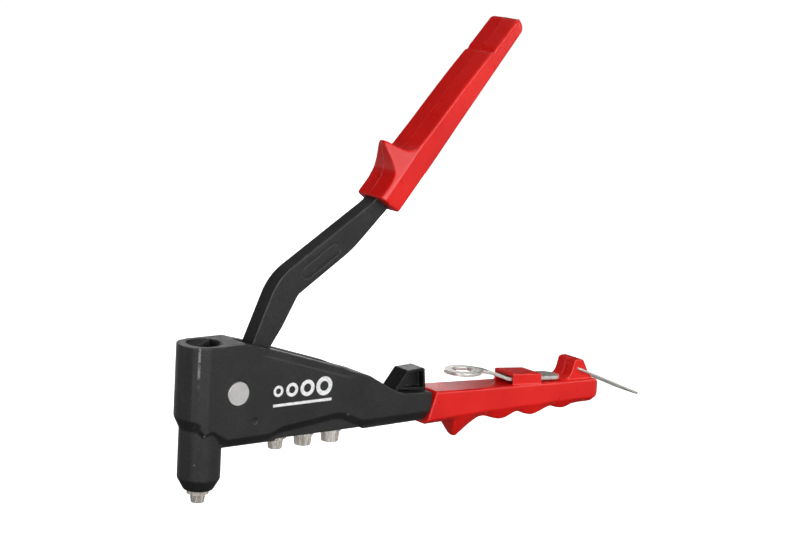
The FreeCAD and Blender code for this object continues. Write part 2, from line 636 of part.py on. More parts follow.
def lower_grip():
    """Hard plastic sleeve over the casting's tang: finger guard, finger bumps, wrench clip and lug."""
    keel = side_plate(lower_grip_profile(), 7.0).common(box((130, 270), (-7, 7), (10, 38)))
    upper = side_plate(lower_grip_profile(), 14).common(box((130, 270), (-14, 14), (29.3, 70)))
    plan = [(130, -LOWER_FRONT_HALF), (200, -9.6), (263, -LOWER_REAR_HALF, 3), (267.2, -6.0, 4),
            (267.2, 6.0, 4), (263, LOWER_REAR_HALF, 3), (200, 9.6), (130, LOWER_FRONT_HALF)]
    upper = upper.common(plan_plate(plan, 0, 80))
    lug_trim = box((230, 270), (LUG_HALF, 20), (42.3, 70))
    upper = upper.cut([lug_trim, lug_trim.mirror(V(0, 0, 0), Y_AXIS)])
    x0, x1 = CLIP_X
    clip = side_plate([(x0, 42.0), (x0, 49.7, 0.8), (x1, 47.9, 0.8), (x1, 41.0)], CLIP_HALF)
    clip_room = side_plate([(x0 - 1, 43.0), (x0 - 1, 47.45), (x1 + 1, 45.9), (x1 + 1, 42.2)],
                           CLIP_HALF - CLIP_WALL)
    tang_room = side_plate([(TAIL_END_X - 12, 31.97), (TAIL_END_X - 12, 43.43), (150, 43.03),
                            (236.05, 38.4, 2), (236.05, 31.57, 2)], 7.43)
    tail_room = Part.makeLoft([tail_clearance(x) for x in (130.0, TAIL_END_X + 0.03)], True, True)
    wire_hole = cross_rod(WIRE_R + RUNNING, LUG_X, LUG_Z, -20, 20)
    flare_near = cross_rod(1.7, LUG_X, LUG_Z, -LUG_HALF - 1, -LUG_HALF + 0.9)
    flare_far = flare_near.mirror(V(0, 0, 0), Y_AXIS)
    solid = merged(keel, upper, clip.cut(clip_room))
    return solid.cut([tang_room, tail_room, wire_hole, flare_near, flare_far]).removeSplitter()


def tail_clearance(x):
    """Casting tail section, grown by the seated clearance, where the grip laps over it."""
    grow = 0.03
    half = on_line(HALF_LINE, x) + grow
    top = on_line(TOP_LINE, x) + grow
    corners = [(-half, top), (half, top), (half, UNDERSIDE_Z - grow), (-half, UNDERSIDE_Z - grow)]
    points = [V(x, y, z) for y, z in corners]
    return Part.makePolygon(points + points[:1])


def stop_bumper():
    """Black stop block on the tail; the arm comes down on it. Both sides are pocketed."""
    block = side_plate([(118.6, 48.0), (126.6, 58.0, 1.0), (138.2, 58.6, 1.2), (139.6, 45.7)], BUMPER_HALF)
    block = block.cut(Part.makeLoft([seat_section(x) for x in (110.0, 121.0, 150.0)], True, True))
    pocket = [(123.6, 48.9, 0.5), (128.2, 56.4, 0.5), (136.7, 56.9, 0.5), (137.9, 47.8, 0.5)]
    for side in (-1, 1):
        block = block.cut(side_plate(pocket, 4.2, side * (BUMPER_HALF + 0.2)))
    plug = Part.makeCylinder(2.5, 6.6, V(BUMPER_PLUG_X, 0, 41.0), Z_AXIS)
    return merged(block, plug)


def seat_section(x):
    """Wedge of the tail's top face, under the bumper."""
    tops = [(110.0, 52.1), (114.9, 49.33), (121.0, 47.03), (150.0, 44.77)]
    top = on_line(tops, x)
    points = [V(x, -20, 30), V(x, 20, 30), V(x, 20, top), V(x, -20, top)]
    return Part.makePolygon(points + points[:1])


# ---------------------------------------------------------------- wrench and latch wire
def wrench():
    """Cranked sheet-metal ring wrench for the nosepieces; its blade sits in the clip."""
    plan = [(180.0, -NECK_HALF, 4), (190.0, -NECK_HALF, 6), (199.5, -BLADE_HALF, 3),
            (BLADE_END_X, -BLADE_HALF, 6.5), (BLADE_END_X, BLADE_HALF, 6.5), (199.5, BLADE_HALF, 3),
            (190.0, NECK_HALF, 6), (180.0, NECK_HALF, 4), (172.0, 9.0), (172.0, -9.0)]
    flat = merged(plan_plate(plan, 30, 70), Part.makeCylinder(RING_R, 40, V(RING_X, 0, 30), Z_AXIS))
    flat = flat.cut(hexagon(RING_FLATS, 20, 80, RING_X))
    half = SHEET_T / 2
    line = [(150.0, 52.6), (178.5, 52.3, 5), (187.5, 50.3, 5), (198.0, 46.1, 5), (250.0, 42.5)]
    above = [(point[0], point[1] + half) + point[2:] for point in line]
    below = [(point[0], point[1] - half) + point[2:] for point in reversed(line)]
    return flat.common(side_plate(above + below, 20))


def latch_wire():
    """U-shaped wire whose turned-in ends pivot in the lug."""
    drop = math.radians(-WIRE_DROP_DEG)
    far_x = LUG_X + WIRE_LENGTH * math.cos(drop)
    far_z = LUG_Z + WIRE_LENGTH * math.sin(drop)
    points = [V(LUG_X, -WIRE_END_Y, LUG_Z), V(LUG_X, -WIRE_HALF, LUG_Z), V(far_x, -WIRE_HALF, far_z),
              V(far_x, WIRE_HALF, far_z), V(LUG_X, WIRE_HALF, LUG_Z), V(LUG_X, WIRE_END_Y, LUG_Z)]
    return wire_solid(points, WIRE_R, WIRE_BEND)


# ---------------------------------------------------------------- write every sub-part
def main():
    os.makedirs("parts", exist_ok=True)
    export("body_casting", body_casting())
    export("pivot_pin", pivot_pin())
    export("pivot_retaining_ring", pivot_retaining_ring())
    export("pivot_bushes", pivot_bushes())
    export("return_spring", return_spring())
    export("handle_arm", handle_arm())
    export("jaw_case", jaw_case())
    for index in range(JAW_COUNT):
        export("jaw_%d" % (index + 1), jaw(index))
    export("jaw_pusher", jaw_pusher())
    export("jaw_spring", jaw_spring())
    export("pull_head", pull_head())
    export("jaw_case_lock_nut", jaw_case_lock_nut())
    export("nosepiece", nosepiece_shape(FITTED_TIP_R, FITTED_CONE_H, FITTED_BORE_R, True))
    for index, name in enumerate(SPARE_NAMES):
        export(name, spare_nosepiece(index))
    export("upper_grip", upper_grip())
    export("lower_grip", lower_grip())
    export("stop_bumper", stop_bumper())
    export("wrench", wrench())
    export("latch_wire", latch_wire())


main()
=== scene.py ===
import math

import bmesh
import bpy
from mathutils import Matrix, Vector


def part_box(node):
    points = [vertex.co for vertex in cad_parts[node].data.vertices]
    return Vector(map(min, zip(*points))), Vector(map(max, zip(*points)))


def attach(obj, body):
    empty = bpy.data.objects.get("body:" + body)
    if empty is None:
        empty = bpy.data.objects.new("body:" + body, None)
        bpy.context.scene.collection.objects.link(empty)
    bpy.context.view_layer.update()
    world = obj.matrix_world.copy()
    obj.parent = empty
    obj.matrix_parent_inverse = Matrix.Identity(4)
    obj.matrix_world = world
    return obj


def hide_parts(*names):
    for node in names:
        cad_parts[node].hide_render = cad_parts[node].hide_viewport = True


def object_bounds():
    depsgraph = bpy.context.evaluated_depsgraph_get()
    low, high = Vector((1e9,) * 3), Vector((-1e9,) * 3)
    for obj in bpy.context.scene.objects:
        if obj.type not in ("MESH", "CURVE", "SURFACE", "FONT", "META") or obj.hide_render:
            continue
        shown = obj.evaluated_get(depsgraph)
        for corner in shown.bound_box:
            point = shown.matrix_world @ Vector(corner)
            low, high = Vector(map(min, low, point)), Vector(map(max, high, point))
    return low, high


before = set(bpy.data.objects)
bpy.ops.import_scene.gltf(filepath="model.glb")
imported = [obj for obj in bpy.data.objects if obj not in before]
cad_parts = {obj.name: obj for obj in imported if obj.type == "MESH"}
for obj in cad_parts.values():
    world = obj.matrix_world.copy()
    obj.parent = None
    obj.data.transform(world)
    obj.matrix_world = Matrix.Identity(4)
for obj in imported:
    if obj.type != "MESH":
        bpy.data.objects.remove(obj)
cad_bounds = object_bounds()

MM = 0.001


# ---------------------------------------------------------------- curves through station tables
def through(stations, x):
    """Smooth value at x through (x, value) stations, without overshoot."""
    if x <= stations[0][0]:
        return stations[0][1]
    if x >= stations[-1][0]:
        return stations[-1][1]
    slopes = [(b[1] - a[1]) / (b[0] - a[0]) for a, b in zip(stations, stations[1:])]
    tangents = [slopes[0]]
    for before, after in zip(slopes, slopes[1:]):
        tangents.append(0.0 if before * after <= 0 else 2 * before * after / (before + after))
    tangents.append(slopes[-1])
    for i, (a, b) in enumerate(zip(stations, stations[1:])):
        if x <= b[0]:
            h = b[0] - a[0]
            t = (x - a[0]) / h
            return ((2 * t ** 3 - 3 * t ** 2 + 1) * a[1] + (t ** 3 - 2 * t ** 2 + t) * h * tangents[i]
                    + (-2 * t ** 3 + 3 * t ** 2) * b[1] + (t ** 3 - t ** 2) * h * tangents[i + 1])


def rounded_ring(corners, steps=5):
    """Points round a polygon of (a, b, radius) corners, with the same count for every radius."""
    points = []
    count = len(corners)
    for i, (a, b, radius) in enumerate(corners):
        here = Vector((a, b))
        before = Vector(corners[i - 1][:2]) - here
        after = Vector(corners[(i + 1) % count][:2]) - here
        limit = 0.45 * min(before.length, after.length)
        u = before.normalized()
        w = after.normalized()
        half = max(u.angle(w) / 2, 0.05)
        reach = min(radius / math.tan(half), limit)
        real = reach * math.tan(half)
        bisector = u + w
        if bisector.length < 1e-4:
            bisector = Vector((-u.y, u.x))
        centre = here + bisector.normalized() * (real / math.sin(half))
        start = here + u * reach - centre
        sweep = math.pi - 2 * half
        turn = 1 if u.x * w.y - u.y * w.x < 0 else -1
        for k in range(steps + 1):
            angle = turn * sweep * k / steps
            c, s = math.cos(angle), math.sin(angle)
            points.append(centre + Vector((start.x * c - start.y * s, start.x * s + start.y * c)))
    return points


# ---------------------------------------------------------------- meshes
def new_object(name, mesh):
    obj = bpy.data.objects.new(name, mesh)
    bpy.context.scene.collection.objects.link(obj)
    return obj


def loft(name, rings):
    """Closed skin over rings of 3-D points in millimetres, with a fan cap on each end."""
    bm = bmesh.new()
    rows = [[bm.verts.new(Vector(p) * MM) for p in ring] for ring in rings]
    count = len(rings[0])
    for low, high in zip(rows, rows[1:]):
        for k in range(count):
            n = (k + 1) % count
            bm.faces.new((low[k], low[n], high[n], high[k]))
    for row in (rows[0], rows[-1]):
        centre = bm.verts.new(sum((v.co for v in row), Vector()) / count)
        for k in range(count):
            bm.faces.new((row[k], row[(k + 1) % count], centre))
    bmesh.ops.recalc_face_normals(bm, faces=bm.faces)
    mesh = bpy.data.meshes.new(name)
    bm.to_mesh(mesh)
    bm.free()
    return new_object(name, mesh)


def evaluated(obj, name):
    """Replaces an object by a smooth-shaded plain mesh with its modifiers applied."""
    bpy.context.view_layer.update()
    depsgraph = bpy.context.evaluated_depsgraph_get()
    mesh = bpy.data.meshes.new_from_object(obj.evaluated_get(depsgraph))
    mesh.name = name
    bpy.data.objects.remove(obj)
    result = new_object(name, mesh)
    result.data.materials.clear()
    for polygon in mesh.polygons:
        polygon.use_smooth = True
    return result


def merged(name, parts):
    """One object that holds several closed meshes, which may pass through each other."""
    bm = bmesh.new()
    for part in parts:
        bm.from_mesh(part.data)
    mesh = bpy.data.meshes.new(name)
    bm.to_mesh(mesh)
    bm.free()
    for part in parts:
        bpy.data.objects.remove(part)
    return new_object(name, mesh)


def soft_skin(name, parts, grain, passes):
    """Moulded or cast skin: the union of the parts on a grid of cells of size grain, in millimetres.

    The passes of smoothing round its edges.
    """
    obj = merged(name + "_raw", parts)
    remesh = obj.modifiers.new("grid", "REMESH")
    remesh.mode = "VOXEL"
    remesh.voxel_size = grain * MM
    remesh.use_smooth_shade = True
    smooth = obj.modifiers.new("round", "SMOOTH")
    smooth.iterations = passes
    return evaluated(obj, name)


def copy_of(node):
    """A loose copy of a CAD node's mesh."""
    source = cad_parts[node]
    return new_object(node + "_copy", source.data.copy())


def stand_for(obj, node, body):
    """Puts a skin on a body in place of a CAD node."""
    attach(obj, body)
    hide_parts(node)


# ---------------------------------------------------------------- materials
# Lighter colours for sharp edges: partly paint or plastic rubbed through, partly a painted highlight.
RUBBED_METAL_AND_HIGHLIGHT = (0.22, 0.215, 0.21)
RUBBED_PLASTIC_AND_HIGHLIGHT = (0.90, 0.085, 0.050)
SCUFF_AND_HIGHLIGHT_REACH = (0.0003, 0.0009)   # full inside the first distance from the edge, none past the second
SCUFF_AND_HIGHLIGHT_RISE = 0.008
PARTING_LINE = (0.0001, 0.0003)  # likewise, from the middle plane of a grip
BLOCK_FRONT_EDGE = (-0.0089, -0.01064, 0.062)   # x, y and lowest z, in metres


class Nodes:
    """Short-hand for building one material's node tree."""

    def __init__(self, name):
        self.material = bpy.data.materials.new(name)
        self.material.use_nodes = True
        self.tree = self.material.node_tree
        self.shader = self.tree.nodes["Principled BSDF"]
        self.place = self.add("ShaderNodeTexCoord").outputs["Object"]

    def add(self, kind, **values):
        node = self.tree.nodes.new(kind)
        for key, value in values.items():
            setattr(node, key, value)
        return node

    def link(self, source, target):
        self.tree.links.new(source, target)

    def noise(self, scale, detail=3.0, roughness=0.5, stretch=None):
        node = self.add("ShaderNodeTexNoise")
        node.inputs["Scale"].default_value = scale
        node.inputs["Detail"].default_value = detail
        node.inputs["Roughness"].default_value = roughness
        place = self.place
        if stretch:
            mapping = self.add("ShaderNodeMapping")
            mapping.inputs["Scale"].default_value = stretch
            self.link(self.place, mapping.inputs["Vector"])
            place = mapping.outputs["Vector"]
        self.link(place, node.inputs["Vector"])
        return node.outputs["Fac"]

    def ramp(self, source, stops):
        node = self.add("ShaderNodeValToRGB")
        elements = node.color_ramp.elements
        while len(elements) < len(stops):
            elements.new(0.5)
        for element, (position, color) in zip(elements, stops):
            element.position = position
            shade = color if isinstance(color, tuple) else (color, color, color)
            element.color = shade + (1.0,)
        self.link(source, node.inputs["Fac"])
        return node.outputs["Color"]

    def mix(self, factor, first, second, blend="MIX"):
        node = self.add("ShaderNodeMix", data_type="RGBA", blend_type=blend)
        sockets = (node.inputs[0], node.inputs[6], node.inputs[7])
        for value, socket in zip((factor, first, second), sockets):
            if isinstance(value, (int, float)):
                socket.default_value = value
            elif isinstance(value, tuple):
                socket.default_value = value + (1.0,)
            else:
                self.link(value, socket)
        return node.outputs[2]

    def bump(self, layers):
        """Chains (height source, strength, distance in metres) layers into the shader's normal."""
        previous = None
        for source, strength, distance in layers:
            node = self.add("ShaderNodeBump")
            node.inputs["Strength"].default_value = strength
            node.inputs["Distance"].default_value = distance
            self.link(source, node.inputs["Height"])
            if previous is not None:
                self.link(previous, node.inputs["Normal"])
            previous = node.outputs["Normal"]
        self.link(previous, self.shader.inputs["Normal"])

    # The lighter edges drawn with this mask are partly wear and partly a painted highlight.
    def edge_wear_and_highlight(self, low, high):
        """0 where the surface is flat or hollow (low), rising to 1 on sharp edges (high)."""
        geometry = self.add("ShaderNodeNewGeometry")
        return self.ramp(geometry.outputs["Pointiness"], [(low, 0.0), (high, 1.0)])

    def fade(self, source, full, none):
        """1 where the source is at full, 0 where it is at none."""
        node = self.add("ShaderNodeMapRange")
        node.inputs["From Min"].default_value = none
        node.inputs["From Max"].default_value = full
        self.link(source, node.inputs["Value"])
        return node.outputs["Result"]

    def scuff_and_highlight(self, x, y, low):
        """Patchy mask along the upright line through (x, y), fading in above the height low; it lightens
        that edge, partly as rubbed paint and partly as a painted highlight.
        """
        beside = self.add("ShaderNodeMapping")
        beside.inputs["Location"].default_value = (-x, -y, 0)
        beside.inputs["Scale"].default_value = (1, 1, 0)
        self.link(self.place, beside.inputs["Vector"])
        distance = self.add("ShaderNodeVectorMath", operation="LENGTH")
        self.link(beside.outputs["Vector"], distance.inputs[0])
        line = self.fade(distance.outputs["Value"], *SCUFF_AND_HIGHLIGHT_REACH)
        patches = self.ramp(self.noise(420, 4), [(0.42, 0.0), (0.52, 1.0)])
        split = self.add("ShaderNodeSeparateXYZ")
        self.link(self.place, split.inputs["Vector"])
        above = self.fade(split.outputs["Z"], low + SCUFF_AND_HIGHLIGHT_RISE, low)
        return self.mix(1.0, self.mix(1.0, line, patches, "MULTIPLY"), above, "MULTIPLY")

    def set(self, **values):
        for key, value in values.items():
            self.shader.inputs[key.replace("_", " ")].default_value = value

    def color(self, source):
        self.link(source, self.shader.inputs["Base Color"])

    def roughness(self, source):
        self.link(source, self.shader.inputs["Roughness"])


def black_paint(name, dark, light, rough_low, rough_high, grain, scuffed_highlit_edge=None):
    """Satin black paint or plastic: fine orange-peel, a mottled tone and lighter grey edges, partly thin
    wear and partly a painted highlight.

    The last argument is an upright edge (x, y, lowest z), in metres, painted lighter grey: partly paint
    rubbed through to the metal, partly a painted highlight.
    """
    n = Nodes(name)
    cloud = n.ramp(n.noise(55, 4), [(0.3, dark), (0.75, light)])
    tone = n.mix(1.0, cloud, n.ramp(n.noise(900, 3), [(0.35, 0.55), (0.65, 1.0)]), "MULTIPLY")
    worn_and_highlit = n.edge_wear_and_highlight(0.52, 0.60)
    patchy = n.ramp(n.noise(160, 4), [(0.45, 0.0), (0.7, 1.0)])
    wear_and_highlight = n.mix(1.0, worn_and_highlit, patchy, "MULTIPLY")
    if scuffed_highlit_edge:
        wear_and_highlight = n.mix(1.0, wear_and_highlight, n.scuff_and_highlight(*scuffed_highlit_edge), "LIGHTEN")
    # Edges and the scuffed edge turn lighter grey: partly worn paint, partly a painted highlight.
    n.color(n.mix(wear_and_highlight, tone, RUBBED_METAL_AND_HIGHLIGHT))
    n.roughness(n.ramp(n.noise(120, 4), [(0.25, rough_low), (0.8, rough_high)]))
    n.bump([(n.noise(grain, 2), 0.40, 0.0002), (n.noise(grain * 3.1, 2), 0.25, 0.0001)])
    n.set(Specular_IOR_Level=0.45)
    return n.material


def red_plastic(name):
    """Glossy moulded plastic, with a fine mould texture, flow marks, a parting line and lighter edges,
    partly rubbed and partly a painted highlight.
    """
    n = Nodes(name)
    flow = n.ramp(n.noise(38, 4), [(0.3, (0.68, 0.004, 0.003)), (0.72, (0.80, 0.010, 0.006))])
    worn_and_highlit = n.edge_wear_and_highlight(0.52, 0.60)
    # Edges turn lighter red: partly rubbed plastic, partly a painted highlight.
    n.color(n.mix(worn_and_highlit, flow, RUBBED_PLASTIC_AND_HIGHLIGHT))
    n.roughness(n.ramp(n.noise(210, 5), [(0.25, 0.26), (0.8, 0.38)]))
    split = n.add("ShaderNodeSeparateXYZ")
    n.link(n.place, split.inputs["Vector"])
    off_middle = n.add("ShaderNodeMath", operation="ABSOLUTE")
    n.link(split.outputs["Y"], off_middle.inputs[0])
    parting_line = n.fade(off_middle.outputs["Value"], *PARTING_LINE)
    n.bump([(n.noise(2300, 2), 0.10, 0.0001),
            (n.noise(140, 2), 0.10, 0.0006),
            (parting_line, 0.5, 0.0002)])
    n.set(Specular_IOR_Level=0.5, Subsurface_Weight=0.04, Subsurface_Radius=(0.0012, 0.0003, 0.0002))
    return n.material


def bright_metal(name, dark, light, rough_low, rough_high, stretch, scratch=0.12, metallic=1.0,
                 blend=0.25, marks_scale=900):
    """Plated or machined metal, with fine marks along one direction and a little tarnish; a high blend
    turns the marks into painted reflections, dark and bright streaks in the colour.
    """
    n = Nodes(name)
    tint = n.ramp(n.noise(90, 4), [(0.25, dark), (0.8, light)])
    marks = n.noise(marks_scale, 3, 0.6, stretch)
    n.color(n.mix(blend, tint, n.ramp(marks, [(0.35, dark), (0.6, light)])))
    n.roughness(n.ramp(marks, [(0.25, rough_low), (0.8, rough_high)]))
    n.bump([(marks, scratch, 0.0001)])
    n.set(Metallic=metallic)
    return n.material


def turned_metal(name, centre, tone):
    """Pin head faced on a lathe: fine rings about its axis, a blotchy tone and small dents."""
    n = Nodes(name)
    mapping = n.add("ShaderNodeMapping")
    mapping.inputs["Location"].default_value = (-centre.x, 0, -centre.z)
    n.link(n.place, mapping.inputs["Vector"])
    rings = n.add("ShaderNodeTexWave", wave_type="RINGS", rings_direction="Y")
    rings.inputs["Scale"].default_value = 900
    rings.inputs["Distortion"].default_value = 1.5
    rings.inputs["Detail"].default_value = 2
    n.link(mapping.outputs["Vector"], rings.inputs["Vector"])
    dark = tuple(0.86 * c for c in tone)
    n.color(n.ramp(n.noise(300, 4), [(0.3, dark), (0.7, tone)]))
    n.roughness(n.ramp(n.noise(700, 4), [(0.2, 0.42), (0.8, 0.6)]))
    n.bump([(rings.outputs["Fac"], 0.08, 0.0001), (n.noise(800, 3), 0.15, 0.0002)])
    n.set(Metallic=0.85)
    return n.material


def printed_ink(name):
    """Pad-printed white ink, slightly uneven."""
    n = Nodes(name)
    n.color(n.ramp(n.noise(700, 4), [(0.25, (0.60, 0.60, 0.60)), (0.6, (0.86, 0.86, 0.86))]))
    n.roughness(n.ramp(n.noise(900, 2), [(0.3, 0.45), (0.7, 0.6)]))
    n.bump([(n.noise(3000, 2), 0.15, 0.0001)])
    return n.material


# The casting's upright front edge is painted lighter: partly rubbed paint, partly a painted highlight.
CAST_BLACK = black_paint("cast_black_paint", 0.015, 0.026, 0.40, 0.54, 1500, BLOCK_FRONT_EDGE)
ARM_BLACK = black_paint("arm_black_paint", 0.015, 0.026, 0.38, 0.50, 1100)
BUMPER_BLACK = black_paint("bumper_black_plastic", 0.005, 0.009, 0.24, 0.36, 2600)
RED = red_plastic("red_grip_plastic")
# The nickel's upright dark and bright streaks are painted reflections of the studio in the colour.
NICKEL_PAINTED_STREAKS = bright_metal("satin_nickel_painted_reflections", (0.50, 0.44, 0.38), (0.97, 0.92, 0.85), 0.20, 0.34, (1, 1, 0.08),
                      metallic=0.55, blend=0.8, marks_scale=500)
WRENCH_NICKEL = bright_metal("wrench_nickel", (0.68, 0.65, 0.60), (0.88, 0.86, 0.82), 0.22, 0.40,
                             (0.3, 3, 3), metallic=0.65)
WIRE_STEEL = bright_metal("wire_zinc", (0.60, 0.57, 0.53), (0.84, 0.82, 0.78), 0.25, 0.42, (0.4, 3, 3),
                          metallic=0.6)
BRIGHT_STEEL = bright_metal("turned_steel", (0.45, 0.45, 0.45), (0.66, 0.66, 0.65), 0.25, 0.42, (1, 1, 5))
SPRING_STEEL = bright_metal("spring_steel", (0.18, 0.18, 0.19), (0.34, 0.34, 0.35), 0.28, 0.45, (2, 2, 2))
JAW_STEEL = bright_metal("jaw_steel", (0.12, 0.12, 0.13), (0.26, 0.26, 0.28), 0.30, 0.48, (1, 1, 5))
BRONZE = bright_metal("bush_bronze", (0.40, 0.26, 0.11), (0.62, 0.43, 0.20), 0.35, 0.55, (2, 2, 2), 0.2)
pin_low, pin_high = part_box("pivot_pin")
pin_centre = (pin_low + pin_high) / 2
PIN = turned_metal("pivot_pin_face", pin_centre, (0.72, 0.71, 0.70))
INK = printed_ink("white_print")


def dress(obj, material):
    obj.data.materials.clear()
    obj.data.materials.append(material)


def dress_node(node, material):
    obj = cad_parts[node]
    if not obj.material_slots:
        obj.data.materials.append(material)
    for slot in obj.material_slots:
        slot.material = material


NODE_MATERIALS = (
    (PIN, ("pivot_pin",)),
    (SPRING_STEEL, ("pivot_retaining_ring", "return_spring", "jaw_spring")),
    (BRONZE, ("pivot_bushes",)),
    (BRIGHT_STEEL, ("jaw_case", "jaw_pusher", "pull_head", "jaw_case_lock_nut")),
    (JAW_STEEL, ("jaw_1", "jaw_2", "jaw_3")),
    (NICKEL_PAINTED_STREAKS, ("nosepiece", "spare_nosepiece_3_2", "spare_nosepiece_4_0", "spare_nosepiece_4_8")),
    (WIRE_STEEL, ("latch_wire",)),
    (WRENCH_NICKEL, ("wrench",)),
    (CAST_BLACK, ("body_casting",)),
    (ARM_BLACK, ("handle_arm",)),
    (BUMPER_BLACK, ("stop_bumper",)),
    (RED, ("upper_grip", "lower_grip")),
)
for node_material, node_names in NODE_MATERIALS:
    for node_name in node_names:
        dress_node(node_name, node_material)


# ---------------------------------------------------------------- upper grip
GRIP_ORIGIN = Vector((98.4, 0.0, 154.5))
GRIP_ANGLE = math.radians(51.0)
ALONG = Vector((math.cos(GRIP_ANGLE), 0.0, math.sin(GRIP_ANGLE)))
UP = Vector((-math.sin(GRIP_ANGLE), 0.0, math.cos(GRIP_ANGLE)))
GRIP_LENGTH = 126.9
GRIP_GRAIN = 0.4
GRIP_PASSES = 5

# stations along the grip: (distance from its foot, height or half width)
GRIP_TOP = [(0, 0.1), (8, -0.2), (13, 0.3), (16, 1.4), (19.2, 4.3), (22.1, 8.0), (24.4, 11.2),
            (25.6, 12.4), (26.6, 12.6), (27.4, 11.6), (28.0, 7.2), (28.9, 3.6), (30.2, 1.2),
            (32, -0.4), (35, -1.1), (43, -1.7), (50, -2.1), (64, -2.7), (84, -3.8), (98, -4.9),
            (100.6, -5.2), (101.6, -6.1), (102.3, -6.2), (103.8, -5.8), (112, -6.3), (122, -6.8),
            (127, -7.2)]
GRIP_HALF = [(0, 12.0), (60, 11.8), (127, 11.8)]
GRIP_BOTTOM = [(0, -14.4), (36, -14.8), (60, -14.6), (127, -14.4)]
HORN_FOOT = -1.4          # the horn's slanted flanks start at this height
HORN_SLOPE = 8.9 / 14.2   # and lean inwards by this much for each step up
SHOULDER = 0.9            # least drop from the top to the flanks' feet
LEDGE = 0.55              # least step in from the side to the crest
CROWN = 0.35              # rise of the middle over the crest's edges, on a full-width top
FOOT_LEAN = 0.06          # the foot's end face leans by this much for each step down
FOOT_LEAN_LENGTH = 20.0   # and the lean fades out over this length
TIP_START = 115.2         # past this distance the tip's underside is drawn back,
TIP_LENGTH = 12.0         # by one more TIP_PULL for each such length
TIP_DEPTH = -8.0          # and with the square of the depth below this height
TIP_PULL = 0.07


def grip_section(s, inset):
    """Outline of the grip at s, drawn in by inset, in the grip's own (y, h) plane."""
    half = through(GRIP_HALF, s) - inset
    top = through(GRIP_TOP, s)
    lean = max(0.0, top - HORN_FOOT) * HORN_SLOPE
    crest = half - LEDGE - lean
    shoulder = min(top, HORN_FOOT) - SHOULDER
    crown = CROWN * crest / half
    top -= inset
    bottom = through(GRIP_BOTTOM, s) + inset
    return rounded_ring([(-half, bottom, 1.9), (half, bottom, 1.9), (half, shoulder, 1.0),
                         (crest, top, 0.9), (0, top + crown, 3.0), (-crest, top, 0.9),
                         (-half, shoulder, 1.0)])


def end_rounding(start, end, start_round, end_round, steps, pitch):
    """Stations (position, inset) of a body whose two ends are rounded over."""
    arc = [math.pi / 2 * k / steps for k in range(steps + 1)]
    cuts = [(start + start_round * (1 - math.cos(a)), start_round * (1 - math.sin(a))) for a in arc]
    straight = end - end_round - start - start_round
    count = int(straight / pitch)
    for k in range(1, count):
        cuts.append((start + start_round + straight * k / count, 0.0))
    cuts += [(end - end_round * (1 - math.sin(a)), end_round * (1 - math.cos(a))) for a in arc]
    return cuts


def grip_rings():
    rings = []
    for s, inset in end_rounding(0.0, GRIP_LENGTH, 0.9, 3.0, 6, 0.4):
        ring = []
        for y, h in grip_section(s, inset):
            lean = FOOT_LEAN * max(0.0, 1 - s / FOOT_LEAN_LENGTH) * -h
            pull = TIP_PULL * max(0.0, (s - TIP_START) / TIP_LENGTH) * max(0.0, TIP_DEPTH - h) ** 2
            ring.append(GRIP_ORIGIN + ALONG * (s + lean - pull) + UP * h + Vector((0, y, 0)))
        rings.append(ring)
    return rings


upper_grip = soft_skin("upper_grip_moulding", [loft("upper_grip_loft", grip_rings())],
                       GRIP_GRAIN, GRIP_PASSES)
dress(upper_grip, RED)
stand_for(upper_grip, "upper_grip", "handle")


# ---------------------------------------------------------------- lower grip
LOWER_START = 138.0
LOWER_END = 267.2
FRONT_LEAN = 0.34          # the front face leans back by this much for each step up,
FRONT_LEAN_FOOT = 28.4     # from this height,
FRONT_LEAN_LENGTH = 16.0   # and the lean fades out over this length

# stations along the grip: (x, height or half width)
LOWER_TOP = [(137.8, 45.6), (146, 45.3), (170, 44.2), (200, 43.0), (241, 41.4), (258.5, 40.9),
             (267.2, 40.6)]
LOWER_HALF = [(137.8, 11.1), (170, 10.6), (200, 9.7), (240, 9.0), (267.2, 8.6)]
LOWER_SIDE_LOW = [(137.8, 29.4), (170, 30.6), (240, 30.4), (267.2, 29.6)]
LOWER_KEEL = [(137.8, 27.2), (157.0, 27.2), (158.9, 26.3), (160.2, 23.9), (161.8, 20.3), (163.3, 17.3),
              (164.4, 16.1), (165.6, 16.2), (168.1, 18.3), (170.2, 20.6), (174.5, 24.4), (178.0, 26.6),
              (181.0, 26.9), (183.3, 26.4), (189, 24.6), (193.5, 23.7), (196, 23.8), (200.7, 25.3),
              (204.5, 26.6), (206.5, 26.7), (209.5, 25.5), (213, 24.3), (217, 23.6), (221.4, 24.5),
              (227.2, 26.5), (230.2, 27.2), (233.2, 26.4), (236.3, 25.5), (240, 25.0), (243, 25.5),
              (247, 26.7), (252, 27.0), (260, 26.9), (267.2, 27.3)]
LOWER_KEEL_HALF = [(137.8, 7.8), (157, 7.2), (160, 5.9), (162, 3.9), (164, 2.2), (166, 2.1), (170, 3.6),
                   (174, 5.0), (178, 6.2), (182, 6.6), (240, 6.0), (267.2, 5.4)]


def lower_section(x, inset):
    """Outline of the grip at x, drawn in by inset, in the (y, z) plane; the keel draws in less."""
    half = through(LOWER_HALF, x) - inset
    top = through(LOWER_TOP, x) - inset
    low = through(LOWER_SIDE_LOW, x) + inset * 0.4
    keel = through(LOWER_KEEL, x) + inset
    keel_half = max(through(LOWER_KEEL_HALF, x) - inset * 0.8, 0.8)
    return rounded_ring([(-keel_half, keel, 1.8), (keel_half, keel, 1.8), (half, low, 1.4),
                         (half, top, 1.2), (-half, top, 1.2), (-half, low, 1.4)])


